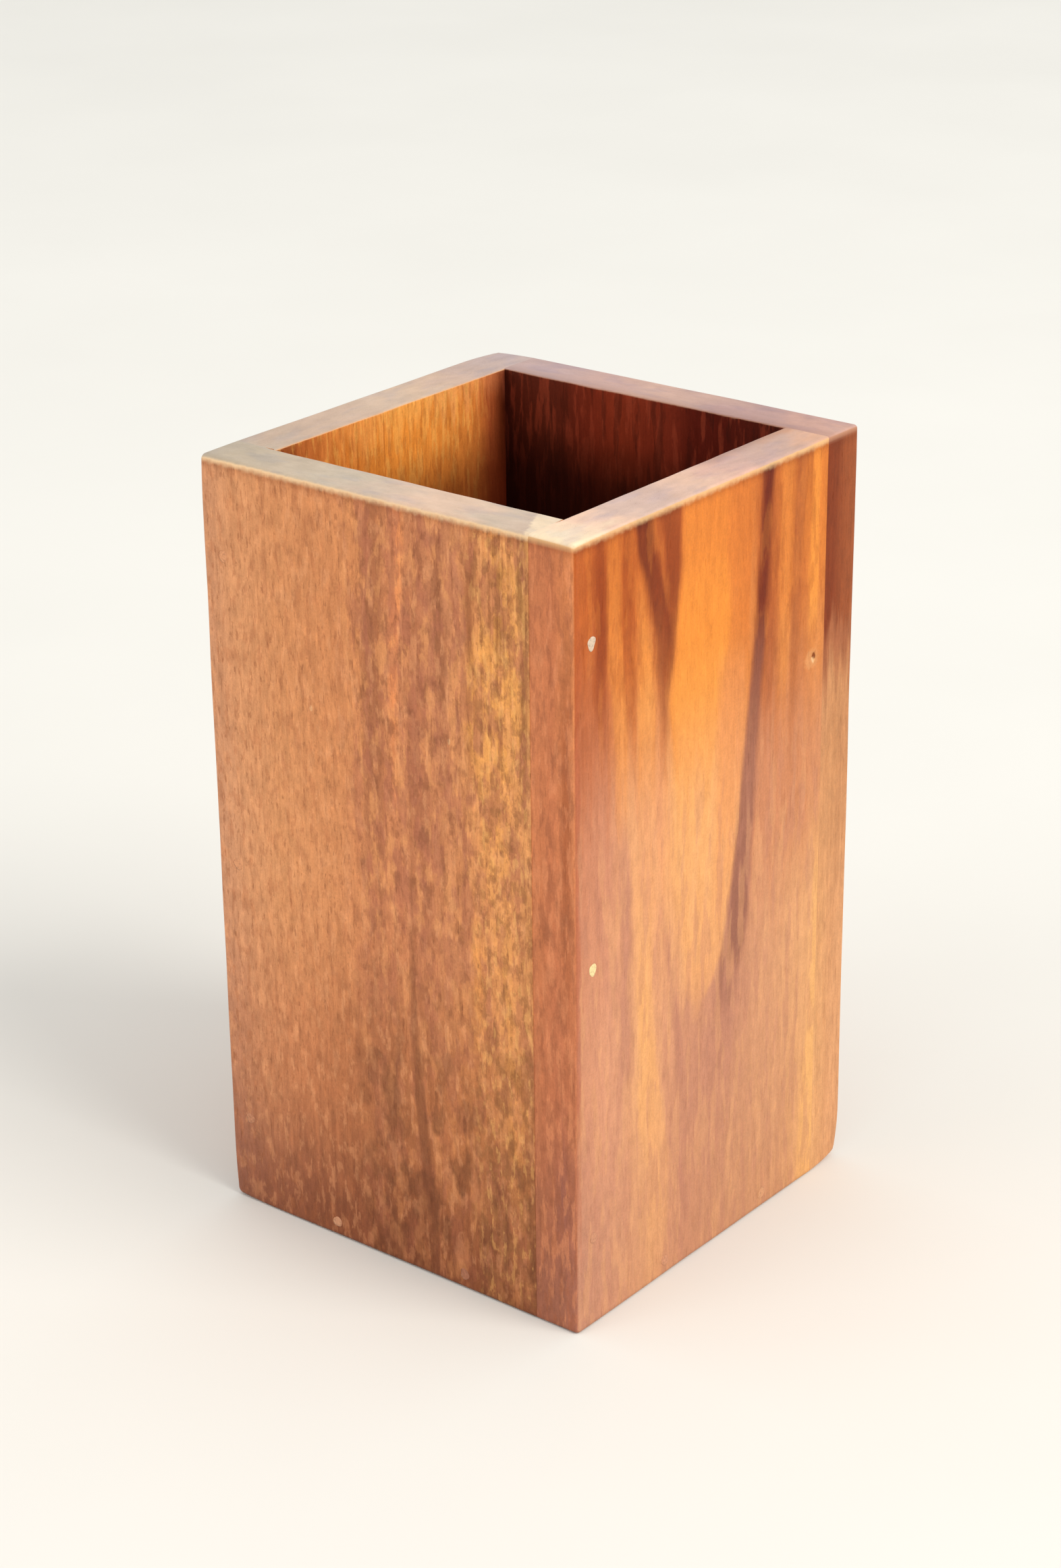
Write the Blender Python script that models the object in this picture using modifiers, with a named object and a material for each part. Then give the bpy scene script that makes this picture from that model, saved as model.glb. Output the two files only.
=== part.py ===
"""A square wooden pen cup: four upright boards and an inset base, glued and nailed.

It runs with blender --background --python part.py, or from Blender's text editor.
Units are metres. The cup stands on Z = 0, centred on the Z axis, with its front facing -Y.

Seen from above, the boards go round like a pinwheel: each covers the end of one
neighbour and butts against the inside face of the other. All four are the same board,
turned by quarter turns, so every piece is placed on its side of the cup in the front
side's own axes and parented to an empty that carries the turn.
"""

import math

import bmesh
import bpy
from mathutils import Vector

# The cup.
SIDE = 0.070  # width and depth over the boards
HEIGHT = 0.125
STOCK = 0.008  # thickness of the four boards
BASE_STOCK = 0.005
GLUE_GAP = 0.0003  # left between two glued faces
EDGE_RADIUS = 0.001  # outer edges, rounded with sandpaper
EDGE_SEGMENTS = 4

# The brad nails, set below the surface and filled over. Depths run from the board's face.
SHANK_RADIUS = 0.0006
HEAD_RADIUS = 0.0008
HEAD_THICKNESS = 0.0004
FILLER_RADIUS = 0.00085
FILLER_DEPTH = 0.0012
BRAD_REACH = 0.020  # depth of the point
POINT_LENGTH = 0.002
FIT = 0.0001  # gap round a nail and its filler
TURNED_STEPS = 12

# Where the nails go, along and up the front board's face.
CORNER_NAIL_INSET = STOCK / 2  # from the edge that covers the neighbour's end
CORNER_NAIL_HEIGHTS = {"low": 0.015, "middle": 0.0595, "high": HEIGHT - 0.0153}
BASE_NAIL_OFFSETS = {"a": -0.013, "b": 0.013}
BASE_NAIL_HEIGHT = BASE_STOCK / 2

# Each side with the corner that its board covers, in order of the quarter turns.
SIDES = {"front": "front_left", "right": "front_right", "back": "back_right", "left": "back_left"}

# Base colour (linear) and roughness of each material.
WOOD_LOOKS = {
    "front": ((0.40, 0.17, 0.07), 0.45),
    "right": ((0.52, 0.21, 0.07), 0.40),
    "back": ((0.28, 0.09, 0.04), 0.45),
    "left": ((0.50, 0.20, 0.06), 0.45),
    "base": ((0.38, 0.17, 0.08), 0.55),
}


def clear_scene():
    for obj in list(bpy.data.objects):
        bpy.data.objects.remove(obj, do_unlink=True)


def new_collection(name):
    collection = bpy.data.collections.new(name)
    bpy.context.scene.collection.children.link(collection)
    return collection


def principled(name, colour, roughness, metallic=0.0):
    material = bpy.data.materials.new(name)
    material.use_nodes = True
    shader = material.node_tree.nodes["Principled BSDF"]
    shader.inputs["Base Color"].default_value = (*colour, 1.0)
    shader.inputs["Roughness"].default_value = roughness
    shader.inputs["Metallic"].default_value = metallic
    material.diffuse_color = (*colour, 1.0)
    return material


def add_object(name, mesh, collection, parent=None):
    obj = bpy.data.objects.new(name, mesh)
    collection.objects.link(obj)
    obj.parent = parent
    return obj


def side_empties(collection):
    """One empty for each side of the cup, turned so that its own -Y faces out."""
    empties = {}
    for turn, side in enumerate(SIDES):
        empties[side] = add_object(f"{side}_side", None, collection)
        empties[side].rotation_euler.z = turn * math.pi / 2
    return empties


def box_mesh(name, low, high):
    """A box between two corners, with its size in the mesh and not in a scale."""
    low, high = Vector(low), Vector(high)
    bm = bmesh.new()
    bmesh.ops.create_cube(bm, size=1.0)
    bmesh.ops.scale(bm, vec=high - low, verts=bm.verts)
    bmesh.ops.translate(bm, vec=(low + high) / 2, verts=bm.verts)
    mesh = bpy.data.meshes.new(name)
    bm.to_mesh(mesh)
    bm.free()
    return mesh


def turned_mesh(name, profile):
    """A solid turned about Z from (radius, height) points that run from top to bottom."""
    bm = bmesh.new()
    verts = [bm.verts.new((radius, 0.0, height)) for radius, height in profile]
    for start, end in zip(verts, verts[1:]):
        bm.edges.new((start, end))
    outline = bpy.data.meshes.new(f"{name}_profile")
    bm.to_mesh(outline)
    bm.free()

    blank = add_object(f"{name}_blank", outline, bpy.context.scene.collection)
    screw = blank.modifiers.new("Turn", "SCREW")
    screw.steps = screw.render_steps = TURNED_STEPS
    screw.use_merge_vertices = True
    screw.merge_threshold = 1e-6
    bpy.context.view_layer.update()
    graph = bpy.context.evaluated_depsgraph_get()
    mesh = bpy.data.meshes.new_from_object(blank.evaluated_get(graph))
    mesh.name = name
    mesh.shade_smooth()
    mesh.set_sharp_from_angle(angle=math.radians(40))
    bpy.data.objects.remove(blank)
    bpy.data.meshes.remove(outline)
    return mesh


def brad_mesh():
    head_top = -FILLER_DEPTH - FIT
    head_bottom = head_top - HEAD_THICKNESS
    return turned_mesh(
        "brad",
        [
            (0.0, head_top),
            (HEAD_RADIUS, head_top),
            (HEAD_RADIUS, head_bottom),
            (SHANK_RADIUS, head_bottom),
            (SHANK_RADIUS, -BRAD_REACH + POINT_LENGTH),
            (0.0, -BRAD_REACH),
        ],
    )


def filler_mesh():
    return turned_mesh(
        "filler",
        [
            (0.0, 0.0),
            (FILLER_RADIUS, 0.0),
            (FILLER_RADIUS, -FILLER_DEPTH),
            (0.0, -FILLER_DEPTH),
        ],
    )


def bore_mesh():
    """The hole for a brad and its filler, with the fit added, standing proud of the face."""
    wide = FILLER_RADIUS + FIT
    narrow = SHANK_RADIUS + FIT
    shoulder = -FILLER_DEPTH - HEAD_THICKNESS - 2 * FIT
    return turned_mesh(
        "bore",
        [
            (0.0, FILLER_DEPTH),
            (wide, FILLER_DEPTH),
            (wide, shoulder),
            (narrow, shoulder),
            (narrow, -BRAD_REACH + POINT_LENGTH),
            (0.0, -BRAD_REACH - FIT),
        ],
    )


def round_outer_edges(obj, is_outer):
    """Bevels the edges that is_outer picks by their middle point."""
    weights = obj.data.attributes.new("bevel_weight_edge", "FLOAT", "EDGE")
    for edge in obj.data.edges:
        ends = [obj.data.vertices[index].co for index in edge.vertices]
        weights.data[edge.index].value = float(is_outer((ends[0] + ends[1]) / 2))
    bevel = obj.modifiers.new("Rounded edges", "BEVEL")
    bevel.limit_method = "WEIGHT"
    bevel.width = EDGE_RADIUS
    bevel.segments = EDGE_SEGMENTS


def add_wall(side, empty, collection):
    """A board in the front side's axes. Its -X edge covers the neighbour's end."""
    half = SIDE / 2
    low = (-half, -half, 0.0)
    high = (half - STOCK - GLUE_GAP, -half + STOCK, HEIGHT)
    wall = add_object(f"{side}_wall", box_mesh(f"{side}_wall", low, high), collection, empty)
    wall.data.materials.append(principled(f"wood_{side}", *WOOD_LOOKS[side]))

    def is_outer(middle):
        """The corner's upright edge, and the top and bottom edges of both outer faces."""
        on_face = math.isclose(middle.y, low[1], abs_tol=1e-6)
        on_end = math.isclose(middle.x, low[0], abs_tol=1e-6)
        on_top_or_bottom = not math.isclose(middle.z, HEIGHT / 2, abs_tol=1e-6)
        return (on_face and on_end) or ((on_face or on_end) and on_top_or_bottom)

    round_outer_edges(wall, is_outer)
    return wall


def add_base(collection):
    reach = SIDE / 2 - STOCK - GLUE_GAP
    mesh = box_mesh("base", (-reach, -reach, 0.0), (reach, reach, BASE_STOCK))
    base = add_object("base", mesh, collection)
    base.data.materials.append(principled("wood_base", *WOOD_LOOKS["base"]))
    return base


def bore(boards, cutter):
    for board in boards:
        cut = board.modifiers.new(cutter.name, "BOOLEAN")
        cut.operation = "DIFFERENCE"
        cut.solver = "EXACT"
        cut.object = cutter


def add_nail(name, place, empty, boards, meshes, collections):
    """A brad driven straight in at a place on the face, its filler, and its hole in the boards."""
    parts, cutters = collections
    brad = add_object(f"brad_{name}", meshes["brad"], parts, empty)
    filler = add_object(f"filler_{name}", meshes["filler"], parts, empty)
    cutter = add_object(f"bore_{name}", meshes["bore"], cutters, empty)
    cutter.hide_render = True
    cutter.display_type = "WIRE"
    for piece in (brad, filler, cutter):
        piece.location = place
        piece.rotation_euler.x = math.pi / 2
    bore(boards, cutter)


def main():
    clear_scene()
    parts = new_collection("pen_cup")
    cutters = new_collection("cutters")
    empties = side_empties(parts)
    walls = {side: add_wall(side, empties[side], parts) for side in SIDES}
    base = add_base(parts)

    meshes = {"brad": brad_mesh(), "filler": filler_mesh(), "bore": bore_mesh()}
    meshes["brad"].materials.append(principled("nail_steel", (0.45, 0.45, 0.47), 0.35, 1.0))
    meshes["filler"].materials.append(principled("wood_filler", (0.66, 0.42, 0.22), 0.7))

    face = -SIDE / 2
    order = list(SIDES)
    for turn, (side, corner) in enumerate(SIDES.items()):
        covered = walls[order[turn - 1]]
        for level, height in CORNER_NAIL_HEIGHTS.items():
            place = (face + CORNER_NAIL_INSET, face, height)
            boards = (walls[side], covered)
            add_nail(f"{corner}_{level}", place, empties[side], boards, meshes, (parts, cutters))
        for letter, offset in BASE_NAIL_OFFSETS.items():
            place = (offset, face, BASE_NAIL_HEIGHT)
            boards = (walls[side], base)
            add_nail(f"base_{side}_{letter}", place, empties[side], boards, meshes, (parts, cutters))


main()
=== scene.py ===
"""The looks of the wooden pen cup: four figured boards, their filled nail holes and the base.

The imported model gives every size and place. Each board, the base and each filler plug is
made again here as a finer piece and replaces its CAD node; the brads keep their CAD shape.
Boards are built in the front board's axes, in metres, and turned on to their side of the cup.

Board colours are written as they show in the render, in sRGB from 0 to 255. Each side's
light level turns them into the wood's own colour.
"""

import math

import bpy
import numpy as np
from mathutils import Matrix, Vector, noise


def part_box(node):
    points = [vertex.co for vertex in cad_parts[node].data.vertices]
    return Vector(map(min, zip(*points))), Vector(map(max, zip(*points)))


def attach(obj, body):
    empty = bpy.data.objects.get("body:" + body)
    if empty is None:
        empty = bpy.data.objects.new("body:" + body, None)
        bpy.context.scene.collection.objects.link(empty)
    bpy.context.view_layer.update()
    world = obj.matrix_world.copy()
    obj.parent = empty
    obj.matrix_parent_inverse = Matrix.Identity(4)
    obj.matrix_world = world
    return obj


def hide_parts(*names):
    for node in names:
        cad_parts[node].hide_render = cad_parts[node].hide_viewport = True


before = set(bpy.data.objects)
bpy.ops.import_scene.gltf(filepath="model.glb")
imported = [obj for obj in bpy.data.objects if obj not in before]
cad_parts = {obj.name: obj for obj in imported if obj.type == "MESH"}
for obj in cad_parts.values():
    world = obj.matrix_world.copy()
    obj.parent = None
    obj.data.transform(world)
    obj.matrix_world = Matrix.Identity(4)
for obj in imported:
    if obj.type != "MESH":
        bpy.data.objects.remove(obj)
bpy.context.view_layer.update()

MM = 0.001
SIDES = ("front", "right", "back", "left")
CORNERS = {"front": "front_left", "right": "front_right", "back": "back_right", "left": "back_left"}
LEVELS = ("low", "middle", "high")

# How brightly each face shows a white card, and how much plain gloss it adds, in linear light.
LIGHT = {
    "front": (1.0, 0.009),
    "right": (1.38, 0.01),
    "back": (1.1, 0.011),
    "left": (0.9, 0.011),
    "top": (1.27, 0.03),
    "left_inside": (0.83, 0.0),
    "back_inside": (0.6, 0.0),
}

# Shapes of the boards.
JOINT_LINE = -0.01 * MM  # the boards meet at a glued joint
EDGE_RADIUS = 0.6 * MM
EDGE_VARIATION = 0.2 * MM
WORN_REACH = 9 * MM  # how far from a corner its extra rounding fades out
RIM_EASE = 0.3 * MM  # inner edge of the rim
WAVE = 0.05 * MM  # hand-planed unevenness of the faces
STEP = 2.0 * MM

# Extra rounding at each board's own two corners, low and high.
WORN_CORNERS = {
    "front": (0.6 * MM, 0.4 * MM),
    "right": (0.2 * MM, 0.3 * MM),
    "back": (2.0 * MM, 0.1 * MM),
    "left": (0.6 * MM, 1.7 * MM),
}


# ---------------------------------------------------------------- frame and axes


def turn_of(side):
    return Matrix.Rotation(SIDES.index(side) * math.pi / 2, 4, "Z")


def board_box(side):
    """The CAD board's lowest and highest corners in the front board's axes."""
    back = turn_of(side).inverted()
    corners = [back @ Vector(corner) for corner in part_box(f"{side}_wall")]
    low = Vector(min(values) for values in zip(*corners))
    high = Vector(max(values) for values in zip(*corners))
    return low, high


FRONT_LOW, FRONT_HIGH = board_box("front")
HALF = -FRONT_LOW.x
STOCK = FRONT_HIGH.y - FRONT_LOW.y
HEIGHT = FRONT_HIGH.z
GLUE_GAP = HALF - STOCK - FRONT_HIGH.x


def nail_place(name, side):
    """Where a nail's filler meets the face, in the front board's axes."""
    low, high = (turn_of(side).inverted() @ Vector(c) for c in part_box(f"filler_{name}"))
    return Vector(((low.x + high.x) / 2, -HALF, (low.z + high.z) / 2))


def nails_of(side):
    """The names of the nails driven through a side's face."""
    corner = [f"{CORNERS[side]}_{level}" for level in LEVELS]
    return corner + [f"base_{side}_{letter}" for letter in "ab"]


# ---------------------------------------------------------------- mesh helpers


def new_object(name, verts, faces):
    mesh = bpy.data.meshes.new(name)
    mesh.from_pydata([tuple(v) for v in verts], [], faces)
    mesh.validate()
    obj = bpy.data.objects.new(name, mesh)
    bpy.context.scene.collection.objects.link(obj)
    return obj


def smooth(obj, angle=35):
    obj.data.shade_smooth()
    obj.data.set_sharp_from_angle(angle=math.radians(angle))


def grid_box(name, lines):
    """A closed box whose six faces are cut by the given lines along X, Y and Z."""
    found, verts, faces = {}, [], []

    def vertex(index):
        if index not in found:
            found[index] = len(verts)
            verts.append([lines[axis][index[axis]] for axis in range(3)])
        return found[index]

    for axis in range(3):
        u, v = (axis + 1) % 3, (axis + 2) % 3
        for end in (0, len(lines[axis]) - 1):
            for i in range(len(lines[u]) - 1):
                for j in range(len(lines[v]) - 1):
                    corners = []
                    for di, dj in ((0, 0), (1, 0), (1, 1), (0, 1)):
                        index = [end] * 3
                        index[u], index[v] = i + di, j + dj
                        corners.append(vertex(tuple(index)))
                    faces.append(corners if end else corners[::-1])
    return new_object(name, verts, faces)


def cut_lines(low, high, step, fine=()):
    """Places from low to high about a step apart, closer at both ends and round each fine place."""
    near_edge = np.array([0, 0.06, 0.12, 0.2, 0.3, 0.42, 0.56, 0.74, 1.0, 1.4, 2.0, 2.8]) * MM
    inside = np.linspace(low, high, max(2, round((high - low) / step)) + 1)
    inside = inside[(inside > low + near_edge[-1]) & (inside < high - near_edge[-1])]
    lines = [low + near_edge, inside, high - near_edge[::-1]]
    for place, reach in fine:
        lines.append(np.linspace(place - reach, place + reach, 17))
    merged = np.unique(np.round(np.concatenate(lines), 7))
    keep = np.concatenate([[True], np.diff(merged) > 0.03 * MM])
    merged = merged[keep & (merged >= low - 1e-9) & (merged <= high + 1e-9)]
    merged[-1] = high
    return merged


def ripple(point, size, seed):
    """Smooth noise from -1 to 1 with features of about a size."""
    return noise.noise(Vector(point) / size + Vector((seed * 7.3, seed * 3.1, seed * 5.7)))


def get_points(mesh):
    points = np.empty(len(mesh.vertices) * 3)
    mesh.vertices.foreach_get("co", points)
    return points.reshape(-1, 3)


def cut(obj, cutter):
    """Takes the cutter's volume out of an object and removes the cutter."""
    modifier = obj.modifiers.new("Holes", "BOOLEAN")
    modifier.operation = "DIFFERENCE"
    modifier.solver = "EXACT"
    modifier.object = cutter
    bpy.context.view_layer.update()
    evaluated = obj.evaluated_get(bpy.context.evaluated_depsgraph_get())
    old, obj.data = obj.data, bpy.data.meshes.new_from_object(evaluated)
    obj.modifiers.clear()
    bpy.data.meshes.remove(old)
    bpy.data.objects.remove(cutter)


# ---------------------------------------------------------------- boards


def face_sink(x, z, seed):
    """How far below the CAD face the planed face lies at a place."""
    return WAVE * (1 + ripple((x, 0, z), 28 * MM, seed))


def edge_radius(point, side):
    """The outer edges' radius at a place: uneven sanding, and more at the board's own corners."""
    radius = EDGE_RADIUS + EDGE_VARIATION * ripple(turn_of(side) @ Vector(point), 14 * MM, 20)
    for extra, corner_z in zip(WORN_CORNERS[side], (0, HEIGHT)):
        away = math.dist(point, (-HALF, -HALF, corner_z))
        radius += extra * max(0.0, 1 - away / WORN_REACH) ** 2
    return radius


def rounded(distances, radius):
    """Moves a point outside a box's rounded edges on to them: distances are from the faces."""
    pull = [max(radius - d, 0.0) for d in distances]
    length = math.sqrt(sum(p * p for p in pull))
    if length <= radius:
        return distances
    return [radius - radius * p / length if p > 0 else d for p, d in zip(pull, distances)]


def shape_board(obj, side, low, high):
    """Rounds and wears a gridded board's corners and makes its faces slightly uneven."""
    seed = SIDES.index(side)
    points = get_points(obj.data)
    for point in points:
        x, y, z = point
        radius = edge_radius(point, side)
        to_end, to_face, to_floor, to_top = x - low.x, y - low.y, z - low.z, high.z - z
        upper = to_top < to_floor
        to_level = to_top if upper else to_floor
        new_end, new_face, new_level = rounded((to_end, to_face, to_level), radius)
        ease = RIM_EASE * (1 + 0.5 * ripple(point, 5 * MM, seed + 30))
        if upper and x > low.x + STOCK and high.y - y < ease:
            to_inside, new_level = rounded((high.y - y, new_level), ease)
            y = high.y - to_inside
        sink = face_sink(x, z, seed)
        if to_face < STOCK / 2:
            y = low.y + new_face + sink * max(0.0, 1 - to_face / (2 * MM))
        if to_end < STOCK / 2:
            share = max(0.0, 1 - to_end / (2 * MM))
            x = low.x + new_end + share * face_sink(HALF - to_face, z, (seed - 1) % len(SIDES))
        top_sink = WAVE * (1 + ripple(turn_of(side) @ Vector((x, y, 0)), 20 * MM, 40))
        z = high.z - new_level - top_sink if upper else low.z + new_level
        point[:] = (x, y, z)
    obj.data.vertices.foreach_set("co", points.ravel())
    obj.data.update()


# ---------------------------------------------------------------- nails and fillers

FILLER_POINTS = 40
PROUD = 0.02 * MM  # the filler's dome over the face
FILLER_TONES = {
    "front_right_high": (226, 200, 172),
    "front_right_middle": (255, 226, 164),
    "front_right_low": (212, 148, 112),
    "base_right_a": (218, 152, 114),
    "base_right_b": (226, 162, 116),
    "base_front_a": (196, 138, 102),
    "base_front_b": (160, 102, 74),
    "front_left_low": (180, 120, 86),
}
PLAIN_FILLER = (208, 142, 98)  # tinted to match the wood round it
SMEAR = {"front_right_high": 0.45, "front_right_middle": 0.15}


def filler_outline(name, radius):
    """(across, up) points of a hand-pressed plug, with a smear below some of them."""
    seed = sum(map(ord, name))
    phases = [(seed * k) % 7 for k in (3, 5, 11)]
    points = []
    for step in range(FILLER_POINTS):
        angle = 2 * math.pi * step / FILLER_POINTS
        lumps = 0.06 * math.sin(2 * angle + phases[0]) + 0.05 * math.sin(3 * angle + phases[1])
        lumps += 0.03 * math.sin(5 * angle + phases[2])
        below = (angle - 1.5 * math.pi) / 0.5
        lumps += SMEAR.get(name, 0.0) * math.exp(-below * below)
        reach = radius * (1 + lumps)
        points.append((reach * math.cos(angle), reach * math.sin(angle)))
    return points


def stacked(name, rings, place):
    """A closed solid through rings of (across, up) points at depths below the face."""
    count = len(rings[0][1])
    verts, faces = [], []
    for depth, points in rings:
        verts += [(place.x + u, place.y + depth, place.z + v) for u, v in points]
    for ring in range(len(rings) - 1):
        for i in range(count):
            j = (i + 1) % count
            a, b = ring * count, (ring + 1) * count
            faces.append((a + i, a + j, b + j, b + i))
    faces.append(tuple(range(count))[::-1])
    last = (len(rings) - 1) * count
    faces.append(tuple(last + i for i in range(count)))
    obj = new_object(name, verts, [face[::-1] for face in faces])
    return obj


def scaled(points, factor, least=0.0):
    """The points drawn in to a factor of their distance, or out to a circle of at least a radius."""
    out = []
    for u, v in points:
        reach = math.hypot(u, v)
        new = max(reach * factor, least)
        out.append((u * new / reach, v * new / reach))
    return out


def circle(radius):
    steps = [2 * math.pi * step / FILLER_POINTS for step in range(FILLER_POINTS)]
    return [(radius * math.cos(angle), radius * math.sin(angle)) for angle in steps]


def filler_size(name):
    low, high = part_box(f"filler_{name}")
    return (high.z - low.z) / 2, min(high.x - low.x, high.y - low.y)


def make_filler(name, side):
    """The plug over a nail's head, slightly domed and pressed level with the uneven face."""
    radius, depth = filler_size(name)
    place = nail_place(name, side)
    place.y += face_sink(place.x, place.z, SIDES.index(side))
    outline = filler_outline(name, radius * 1.04)
    rings = [
        (-PROUD, scaled(outline, 0.25)),
        (-0.9 * PROUD, scaled(outline, 0.5)),
        (-0.5 * PROUD, scaled(outline, 0.8)),
        (0.3 * PROUD, scaled(outline, 0.94)),
        (2 * PROUD, outline),
        (0.6 * depth, circle(radius)),
        (depth - 2 * WAVE, circle(radius)),
    ]
    obj = stacked(f"plug_{name}", rings, place)
    obj.data.transform(turn_of(side))
    smooth(obj, 50)
    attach(obj, "root")
    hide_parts(f"filler_{name}")
    return obj


def brad_bore(name, side):
    """The hole that the brad and its filler fill, standing proud of the face."""
    radius, depth = filler_size(name)
    fit = 0.1 * MM
    place = nail_place(name, side)
    low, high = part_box(f"brad_{name}")
    reach = depth + fit + max(high.x - low.x, high.y - low.y)
    head_radius = (high.z - low.z) / 2
    shank_radius = head_radius * 0.75
    outline = scaled(filler_outline(name, radius * 1.04), 1.012)
    rings = [
        (-1 * MM, outline),
        (0.5 * depth, outline),
        (0.7 * depth, circle(radius + fit)),
        (depth + 6 * fit, circle(radius + fit)),
        (depth + 7 * fit, circle(shank_radius + fit)),
        (reach - 2 * MM, circle(shank_radius + fit)),
        (reach + 2 * fit, circle(fit)),
    ]
    bore = stacked(f"bore_{name}", rings, place)
    bore.data.transform(turn_of(side))
    return bore


def joined(objects):
    """Several separate solids as one object."""
    verts, faces = [], []
    for obj in objects:
        start = len(verts)
        verts += [tuple(v.co) for v in obj.data.vertices]
        faces += [tuple(start + i for i in face.vertices) for face in obj.data.polygons]
        bpy.data.objects.remove(obj)
    return new_object("joined", verts, faces)


def make_board(side, knots=()):
    """A side's board, cut by its own nails and by those of the board that covers its end."""
    low, high = board_box(side)
    high.x += GLUE_GAP - JOINT_LINE
    fine_x = [(x, 1.3 * MM) for x, _ in knots]
    fine_z = [(z, 1.6 * MM) for _, z in knots]
    lines = (
        cut_lines(low.x, high.x, STEP, fine_x),
        cut_lines(low.y, high.y, STEP),
        cut_lines(low.z, high.z, STEP, fine_z),
    )
    board = grid_box(f"board_{side}", lines)
    shape_board(board, side, low, high)
    for x, z in knots:
        press_knot(board, x, z)
    board.data.transform(turn_of(side))

    covering = SIDES[(SIDES.index(side) + 1) % len(SIDES)]
    bores = [brad_bore(name, side) for name in nails_of(side)]
    bores += [brad_bore(f"{CORNERS[covering]}_{level}", covering) for level in LEVELS]
    cut(board, joined(bores))
    smooth(board)
    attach(board, "root")
    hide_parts(f"{side}_wall")
    return board


def press_knot(board, knot_x, knot_z):
    """A small torn-out hollow in the outer face."""
    points = get_points(board.data)
    for point in points:
        if point[1] > -HALF + 1 * MM:
            continue
        across = (point[0] - knot_x) / (0.42 * MM)
        along = (point[2] - knot_z) / (0.62 * MM)
        away = math.hypot(across, along) + 0.3 * ripple(point, 0.5 * MM, 9)
        point[1] += 0.35 * MM * math.exp(-max(away, 0.0) ** 2.5)
    board.data.vertices.foreach_set("co", points.ravel())
    board.data.update()


def make_base():
    """The inset base, closed up to the walls and cut by the brads driven into it."""
    low, high = (Vector(corner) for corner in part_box("base"))
    grow = GLUE_GAP - JOINT_LINE
    lines = (
        cut_lines(low.x - grow, high.x + grow, STEP),
        cut_lines(low.y - grow, high.y + grow, STEP),
        cut_lines(low.z, high.z, STEP),
    )
    base = grid_box("board_base", lines)
    points = get_points(base.data)
    for point in points:
        upper = point[2] > (low.z + high.z) / 2
        point[2] -= 2 * WAVE * (1 + ripple(point, 15 * MM, 50)) if upper else 0.0
    base.data.vertices.foreach_set("co", points.ravel())
    bores = [brad_bore(f"base_{side}_{letter}", side) for side in SIDES for letter in "ab"]
    cut(base, joined(bores))
    smooth(base)
    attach(base, "root")
    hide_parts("base")
    return base


# ---------------------------------------------------------------- node graphs


def linear(tone, light=(1.0, 0.0)):
    """The wood's own linear colour where it shows as an sRGB tone, under a (level, gloss) light."""
    level, gloss = light
    out = []
    for value in tone:
        c = value / 255
        c = c / 12.92 if c <= 0.04045 else ((c + 0.055) / 1.055) ** 2.4
        out.append(min(max(c - gloss, 0.25 * c) / level, 0.9))
    return (*out, 1.0)


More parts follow.
